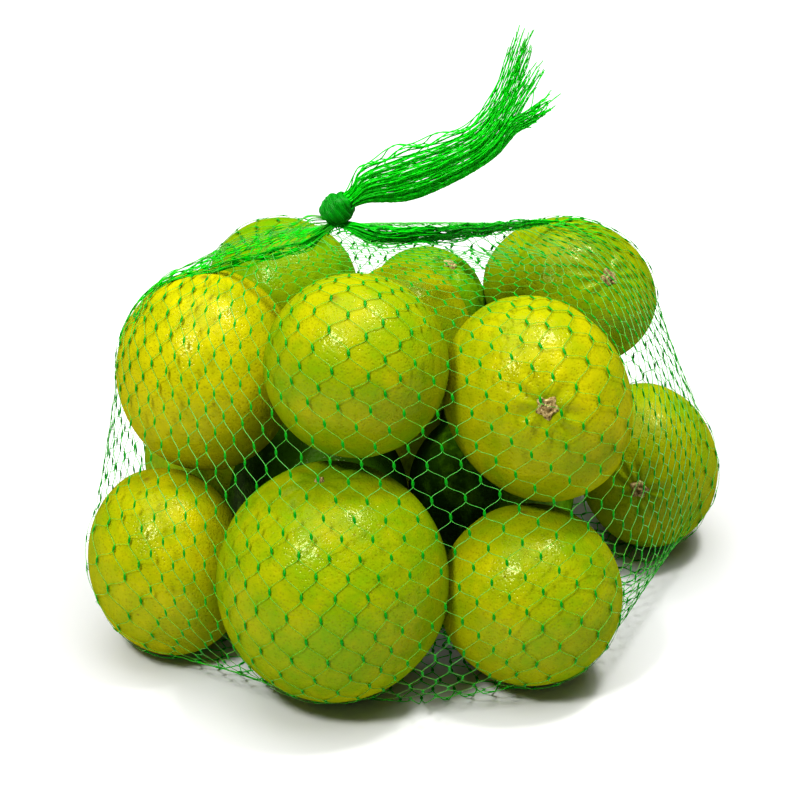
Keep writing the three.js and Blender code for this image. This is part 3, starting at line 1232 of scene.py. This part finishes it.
def eased(grid, valid, pitch, tree):
    """Lets the junctions slide over the bag until cells are even and strands come near to one length."""
    above = np.zeros_like(valid)
    above[1:] = valid[:-1]
    loose = valid & (np.roll(above, 1, axis=1) | np.roll(above, -1, axis=1))
    beside = valid & np.roll(valid, 2, axis=1) & np.roll(valid, -2, axis=1)
    between = np.zeros_like(valid)
    between[2:-2] = valid[2:-2] & valid[:-4] & valid[4:]
    for turn in range(EASES):
        push = np.zeros_like(grid)
        for side in (-1, 1):
            run = np.roll(grid[1:], -side, axis=1) - grid[:-1]
            size = np.linalg.norm(run, axis=2)
            rest = pitch * pleated(grid[:-1])
            both = valid[:-1] & np.roll(valid[1:], -side, axis=1)
            share = np.where(size > rest, SHORTENED, LENGTHENED)
            pull = both * share * (size - rest) / np.maximum(size, 0.1)
            push[:-1] += pull[..., None] * run
            push[1:] -= np.roll(pull[..., None] * run, side, axis=1)
        evened = (np.roll(grid, 2, axis=1) + np.roll(grid, -2, axis=1)) / 2 - grid
        push += EVENED * beside[..., None] * evened
        evened[2:-2] = (grid[:-4] + grid[4:]) / 2 - grid[2:-2]
        push += EVENED * between[..., None] * evened
        grid = grid + push * loose[..., None]
        if (turn + 1) % PUT_BACK == 0:
            grid[valid] = on_surface(tree, grid[valid])[0]
    return grid


def strand_runs(start, start_way, end, end_way, steps, handle):
    """Curved strands that leave one bar along its length and meet the next the same way."""
    reach = np.linalg.norm(end - start, axis=1, keepdims=True)
    one = start + start_way * reach * handle
    two = end - end_way * reach * handle
    u = np.linspace(0, 1, steps)[None, :, None]
    start, one, two, end = (p[:, None, :] for p in (start, one, two, end))
    return (1 - u) ** 3 * start + 3 * u * (1 - u) ** 2 * one + 3 * u**2 * (1 - u) * two + u**3 * end


class LIMES_OT_netting(bpy.types.Operator):
    """Adds the netting drawn over the limes, from the fold at the top to the base"""

    bl_idname = "limes.netting"
    bl_label = "Add Netting"

    def execute(self, context):
        settings = context.scene.lime_net
        material = net_material(settings)
        tree = bag_surface()
        grid, down, valid, starts = bag_lattice(settings, tree)
        rows, halves, _ = grid.shape
        rng = np.random.default_rng(NETTING_SEED)
        grid, outward = on_surface(tree, grid)
        grid = self.above_table(drawn_on(grid)[0], settings)
        down = unit(down - outward * (down * outward).sum(axis=2, keepdims=True))
        down = unit(down + rng.normal(0, 0.05, (rows, halves, 1)) * np.cross(down, outward))
        bar = settings.junction_long / MM * BAR_HOLD
        shut = self.drawn_shut(grid)
        bands = (0, rows // 3, rows // 2, 2 * rows // 3, rows)
        for name, start, last in zip(NET_PIECES, bands, bands[1:]):
            netting = Netting()
            for row in range(start, last):
                here = np.flatnonzero(valid[row])
                sizes = np.maximum(pleated(grid[row][here]), SMALLEST_BAR)
                netting.add_bars(grid[row][here], down[row][here], outward[row][here], sizes)
                for side in (-1, 1):
                    there = (here + side) % halves
                    runs = []
                    # Strands down to the next row, and from a column's first junction up to the fold.
                    if row + 1 < rows:
                        low = valid[row + 1][there]
                        top, foot = here[low], there[low]
                        leave = grid[row][top] + bar * down[row][top]
                        meet = grid[row + 1][foot] - bar * down[row + 1][foot]
                        runs.append((top, leave, meet, down[row + 1][foot]))
                    up = valid[row - 1][there] if row else np.zeros(len(here), bool)
                    first = here[~up & (grid[row][here][:, 2] > WAIST)]
                    meet = grid[row][first] - bar * down[row][first]
                    runs.append((first, starts[(first + side) % halves], meet, down[row][first]))
                    for columns, leave, meet, meet_way in runs:
                        if not len(columns):
                            continue
                        line = strand_runs(leave, down[row][columns], meet, meet_way, STRAND_POINTS, 0.22)
                        self.add_drawn(netting, tree, rng, settings, line, shut[row][columns])
            if start == 0:
                self.add_fold(netting, settings, rng)
            mesh = netting.mesh(name, settings, material)
            add_piece(name, mesh, material, "net_bag")
        return {"FINISHED"}

    @staticmethod
    def drawn_shut(grid):
        """How much thicker strands look at each junction, where several lie side by side."""
        breadth = np.linalg.norm(np.roll(grid, -2, axis=1) - np.roll(grid, 2, axis=1), axis=2) / 2
        narrow = 0.35 * np.clip((4.6 - breadth) / 2.6, 0, 1)
        # On the table two layers lie one on the other.
        layered = 0.4 * np.clip((9 - grid[..., 2]) / 6, 0, 1)
        # Left of the knot the pleats behind the fold are doubled.
        spots = np.array(FOLD[:FOLD_KNOT])
        beside = np.min([np.linalg.norm(grid - spot, axis=2) for spot in spots], axis=0)
        behind = np.arange(grid.shape[1]) > FRONT_SHARE * grid.shape[1]
        doubled = behind * 0.8 * np.clip((24 - beside) / 10, 0, 1)
        return np.maximum(np.maximum(narrow, layered), doubled)

    def add_drawn(self, netting, tree, rng, settings, line, shut):
        """Adds strands laid on the bag, thinnest half way along, some a little off it."""
        arch = np.sin(math.pi * np.linspace(0, 1, STRAND_POINTS))
        places, normals = on_surface(tree, line)
        lift = 0.2 * arch[None, :, None] * rng.uniform(0, 1, (len(line), 1, 1))
        runs, gaps = drawn_on(places)
        runs = self.above_table(runs + normals * lift, settings)
        girths = DRAWN_GIRTH - DRAWN_WAIST * arch**0.7 + shut[:, None]
        # Strands well off the peel count as clear: they take the painted highlight green and cover more.
        netting.add_strands(runs, girths, np.clip((gaps - 4) / 6, 0, 1))

    @staticmethod
    def add_fold(netting, settings, rng):
        """Bunched columns that run along the fold from the knot to where each one hangs down."""
        fold, length, knot = fold_line()
        pitch = settings.pitch / MM
        for column in range(settings.columns):
            place, start, _ = column_start(column / settings.columns, fold)
            reach = abs(place - knot) * length
            spin, out = rng.uniform(0, 2 * math.pi), 2.0 * math.sqrt(rng.uniform(0, 1))
            root = KNOT_AT + np.array([out * math.cos(spin), out * math.sin(spin), -3.6])
            level, depth = rng.uniform(-1, 1), rng.uniform(-1, 1)
            controls = [root]
            end = 0 if place < knot else 1
            height = BUNCH_RIGHT if end else BUNCH_LEFT
            # Left of the knot the upper strands lie back over the limes as a veil.
            veil = end == 0 and level > 0
            gaps = np.arange(8.0, reach - 3, 5.0)
            drift = rng.uniform(-0.35, 0.35, len(gaps) + 1)
            for gap, stray in zip(gaps, drift):
                spot = knot + (place - knot) * gap / reach
                # The bunch thins out as its columns leave it one by one.
                remaining = max(1 - (spot - knot) / (end - knot), 0.03)
                spread = math.sqrt(remaining) * min(1, (reach - gap) / 8 + 0.12)
                offset = np.array([0.0, 1.2 * spread * depth, height * spread * (level + stray)])
                if veil:
                    offset += spread**2 * level * VEIL
                controls.append(on_line(fold, spot) + offset)
            controls.append(start)
            line, run = smooth_run(np.array(controls), max(8, int(reach / (2 if end else 1))))
            u = np.linspace(0, 1, len(line))
            # Left of the knot the rows of junctions lie in line, as pleats across the bunch.
            apart = np.linalg.norm(line - KNOT_AT, axis=1)
            pleats = np.clip(0.2 + 2 * np.cos(2 * math.pi * apart / PLEAT), 0, 1)
            girth = GIRTH_RIGHT if end else (GIRTH_VEIL if veil else GIRTH_LEFT) + GIRTH_PLEAT * pleats
            for strand in (-1, 1):
                part = line.copy()
                part[:, 2] += strand * 0.18 * np.cos(math.pi * u * run / pitch)
                part[:, 1] += strand * 0.12
                netting.add_strands(part[None], girth)
            bars = int(run / pitch) if end else 0
            for at in rng.uniform(0.1, 0.95, bars):
                way = unit(on_line(line, at + 0.02) - on_line(line, at - 0.02))
                facing = unit(np.cross(way, [0.0, 0.3, 1.0]))
                netting.add_bars(on_line(line, at)[None], way[None], facing[None], 0.95)

    @staticmethod
    def above_table(runs, settings):
        """Keeps strands on or above the table."""
        runs[..., 2] = np.maximum(runs[..., 2], settings.strand / MM)
        return runs


class LIMES_OT_knot(bpy.types.Operator):
    """Adds the hard round knot, netting wound tight round the tail's line"""

    bl_idname = "limes.knot"
    bl_label = "Add Knot"

    def execute(self, context):
        settings = context.scene.lime_net
        material = net_material(settings)
        netting = Netting()
        axis = np.array([math.sin(KNOT_TILT), 0.0, math.cos(KNOT_TILT)])
        side = np.array([0.0, 1.0, 0.0])
        for turns, tip, size, spin in WINDINGS:
            lean = math.radians(tip)
            pole = math.cos(lean) * axis + math.sin(lean) * side
            east = unit(np.cross(pole, [0.2, 0.1, 0.97]))
            north = np.cross(pole, east)
            u = np.linspace(0, 1, turns * 44)
            polar = math.pi * (0.13 + 0.74 * u)
            turn = spin + 2 * math.pi * turns * u
            # Strands lie in bundles, and the bundles make the knot a little lumpy.
            bundle = 0.22 * np.cos(2 * math.pi * turns * u / 5.2) - 0.12
            lump = 0.3 * np.sin(2 * turn + 2.2) * np.sin(polar) + 0.22 * np.sin(3 * turn + 4 * polar)
            radius = (KNOT_HALF - 0.2) * size + bundle + lump
            run = (
                (radius * np.cos(polar))[:, None] * pole
                + (radius * np.sin(polar) * np.cos(turn))[:, None] * east
                + (radius * np.sin(polar) * np.sin(turn))[:, None] * north
            )
            netting.add_strands((KNOT_AT + run)[None], WOUND_GIRTH)
        # The collar where the tail comes out.
        u = np.linspace(0, 1, COLLAR_TURNS * 40)
        turn = 2 * math.pi * COLLAR_TURNS * u
        ring = np.array(TAIL[0][0]) + axis * 0.4
        east = unit(np.cross(axis, side))
        level = 0.9 * np.sin(math.pi * (u - 0.5))
        radius = COLLAR_RADIUS + 0.7 * np.cos(math.pi * (u - 0.5))
        run = level[:, None] * axis + radius[:, None] * (
            np.cos(turn)[:, None] * east + np.sin(turn)[:, None] * side
        )
        netting.add_strands((ring + run)[None], WOUND_GIRTH)
        mesh = netting.mesh("net_knot_strands", settings, material)
        joined = bmesh.new()
        joined.from_mesh(mesh)
        core = bmesh.ops.create_icosphere(joined, subdivisions=4, radius=(KNOT_HALF - 0.75) * MM)
        bmesh.ops.translate(joined, verts=core["verts"], vec=Vector(KNOT_AT * MM))
        joined.to_mesh(mesh)
        joined.free()
        add_piece("net_knot_strands", mesh, material, "net_knot")
        return {"FINISHED"}


class LIMES_OT_tail(bpy.types.Operator):
    """Adds the gathered tail of netting with its frayed ends"""

    bl_idname = "limes.tail"
    bl_label = "Add Tail"

    def execute(self, context):
        settings = context.scene.lime_net
        material = net_material(settings)
        columns = settings.columns
        rng = np.random.default_rng(TAIL_SEED)
        paths, lengths = self.column_paths(columns, rng)
        pitch = settings.pitch / MM
        step = pitch * TAIL_STEP
        rows = int(lengths.max() / step) + 1
        # Columns have slipped past each other, so that their junctions don't lie in line.
        order = np.arange(2 * columns)
        slips = step * TAIL_SLIP * np.sin(order * 0.9 + 0.6 * np.sin(order * 0.31))
        netting = Netting()
        bar = settings.junction_long / MM * BAR_HOLD
        for row in range(rows):
            girth = np.interp(row / rows, *TAIL_GIRTHS)
            for column in range(columns):
                half = 2 * column + row % 2
                here, way = self.spot(paths, lengths, half, row * step + slips[half])
                if here is None:
                    continue
                facing = unit(np.cross(way, [0.3, 1.0, 0.2]))
                netting.add_bars(here[None], way[None], facing[None], 0.85)
                start = here + way * bar
                for side in (-1, 1):
                    other = (half + side) % (2 * columns)
                    there, there_way = self.spot(paths, lengths, other, (row + 1) * step + slips[other])
                    if there is None or np.linalg.norm(there - here) > TAIL_JOIN * pitch:
                        # A cut end: the strand runs on alone and stops short.
                        loose = rng.uniform(*TAIL_LOOSE)
                        sway = side * rng.uniform(0.1, 0.45) * np.cross(way, facing) + rng.normal(0, 0.12, 3)
                        end, end_way, handle = start + loose * unit(way + sway), unit(way + 0.5 * sway), 0.3
                    else:
                        end, end_way, handle = there - there_way * bar, there_way, 0.34
                    runs = strand_runs(start[None], way[None], end[None], end_way[None], 6, handle)
                    netting.add_strands(runs, girth)
        mesh = netting.mesh("net_tail_strands", settings, material, TAIL_JUNCTION_GIRTH)
        add_piece("net_tail_strands", mesh, material, "net_tail")
        return {"FINISHED"}

    @staticmethod
    def column_paths(columns, rng):
        """Paths along the tail and their lengths, two for each column: rows sit half a cell apart."""
        spots = np.array([s[0] for s in TAIL])
        ways = unit(np.gradient(spots, axis=0))
        sides = unit(np.cross([0.0, 1.0, 0.0], ways))
        backs = np.cross(ways, sides)
        deep = 0.72 + 0.28 * rng.uniform(-1, 1, columns)
        cut = rng.uniform(*TAIL_CUTS, columns)
        order = np.arange(columns + 1)
        paths, lengths = [], []
        for half in range(2 * columns):
            share = half / columns
            x = 1 - 2 * abs(1 - share)
            x += 0.34 * (1 - x * x)
            inset = np.interp(half / 2, order, np.append(deep, deep[0]))
            y = math.copysign(math.sqrt(max(1 - x * x, 0.0)), 1 - share) * inset
            # Along the upper edge some strands hang loose.
            loose = 0.17 * max(0.0, -x - 0.7) * (1 + math.sin(1.7 * half))
            controls = []
            for i, (_, breadth, depth) in enumerate(TAIL):
                bulge = x - loose * i * (len(TAIL) - 1 - i) / 2
                controls.append(spots[i] + sides[i] * breadth * bulge + backs[i] * depth * y)
            tuft = next(i for i, end in enumerate(TUFT_ENDS) if x < end)
            low = (-1.0,) + TUFT_ENDS[:-1]
            local = 2 * (x - low[tuft]) / (TUFT_ENDS[tuft] - low[tuft]) - 1
            root, tip, breadth = (np.array(v) for v in TUFTS[tuft])
            run = unit(tip - root)
            beside = unit(np.cross([0.0, 1.0, 0.0], run))
            behind = np.cross(run, beside)
            for along, wide in ((0.4, 0.66), (1.0, 0.6)):
                spot = root + (tip - root) * along + beside * breadth * wide * local
                controls.append(spot + behind * 1.5 * y * wide)
            controls[-3] = 0.6 * controls[-3] + 0.4 * (root + beside * breadth * local)
            controls[-1] = controls[-1] - run * np.interp(half / 2, order, np.append(cut, cut[0]))
            path, length = smooth_run(np.array(controls), 160)
            paths.append(path)
            lengths.append(length)
        return np.array(paths), np.array(lengths)

    @staticmethod
    def spot(paths, lengths, half, along):
        """Place and direction at a distance along one column's path, or None past its end."""
        if along > lengths[half]:
            return None, None
        index = max(along, 0.0) / lengths[half] * (paths.shape[1] - 1)
        low = min(int(index), paths.shape[1] - 2)
        a, b = paths[half][low], paths[half][low + 1]
        return a + (b - a) * (index - low), unit(b - a)


class LIMES_OT_stage(bpy.types.Operator):
    """Adds the pale floor, soft studio light and the camera"""

    bl_idname = "limes.stage"
    bl_label = "Add Stage"

    def execute(self, context):
        settings = context.scene.lime_stage
        scene = context.scene
        reach = settings.reach / 2
        corners = [(-reach, -reach, 0), (reach, -reach, 0), (reach, reach, 0), (-reach, reach, 0)]
        mesh = add_mesh("floor", corners, [(0, 1, 2, 3)])
        mesh.materials.append(floor_material(settings))
        floor = add_object("floor", mesh)
        powers = {"key": settings.key, "second": settings.second, "panel": settings.panel}
        for name, (at, size) in LAMPS.items():
            lamp = bpy.data.lights.new(name, "AREA")
            lamp.energy = powers[name]
            lamp.size = size
            add_aimed(name, lamp, at)
        world = bpy.data.worlds.new("white studio")
        world.use_nodes = True
        background = world.node_tree.nodes["Background"]
        background.inputs["Color"].default_value = (1, 1, 1, 1)
        background.inputs["Strength"].default_value = settings.sky
        scene.world = world
        scene.view_settings.view_transform = "Standard"
        scene.view_settings.look = "Medium High Contrast"
        camera = bpy.data.cameras.new("camera")
        camera.lens = settings.lens
        camera.sensor_width = 36.0
        scene.camera = add_aimed("camera", camera, AIM - CAMERA_DISTANCE * Vector(AWAY))
        return {"FINISHED"}


class LIMES_PT_panel(bpy.types.Panel):
    """The bag's pieces, in the order they are made"""

    bl_idname = "LIMES_PT_panel"
    bl_label = "Net Bag of Limes"
    bl_space_type = "VIEW_3D"
    bl_region_type = "UI"
    bl_category = "Limes"

    def draw(self, context):
        for step in STEPS:
            self.layout.operator(step.bl_idname)


STEPS = (
    LIMES_OT_stage,
    LIMES_OT_fruit,
    LIMES_OT_stems,
    LIMES_OT_netting,
    LIMES_OT_knot,
    LIMES_OT_tail,
)
CLASSES = (LimeSettings, NetSettings, StageSettings, *STEPS, LIMES_PT_panel)


def register():
    """Makes the settings, operators and panel known to Blender."""
    for made in CLASSES:
        bpy.utils.register_class(made)
    bpy.types.Scene.lime_fruit = PointerProperty(type=LimeSettings)
    bpy.types.Scene.lime_net = PointerProperty(type=NetSettings)
    bpy.types.Scene.lime_stage = PointerProperty(type=StageSettings)


def unregister():
    """Takes them away again."""
    del bpy.types.Scene.lime_stage
    del bpy.types.Scene.lime_net
    del bpy.types.Scene.lime_fruit
    for made in reversed(CLASSES):
        bpy.utils.unregister_class(made)


def main():
    """Builds every piece in order."""
    register()
    bpy.ops.limes.stage()
    bpy.ops.limes.fruit()
    bpy.ops.limes.stems()
    bpy.ops.limes.netting()
    bpy.ops.limes.knot()
    bpy.ops.limes.tail()


if __name__ == "__main__":
    main()
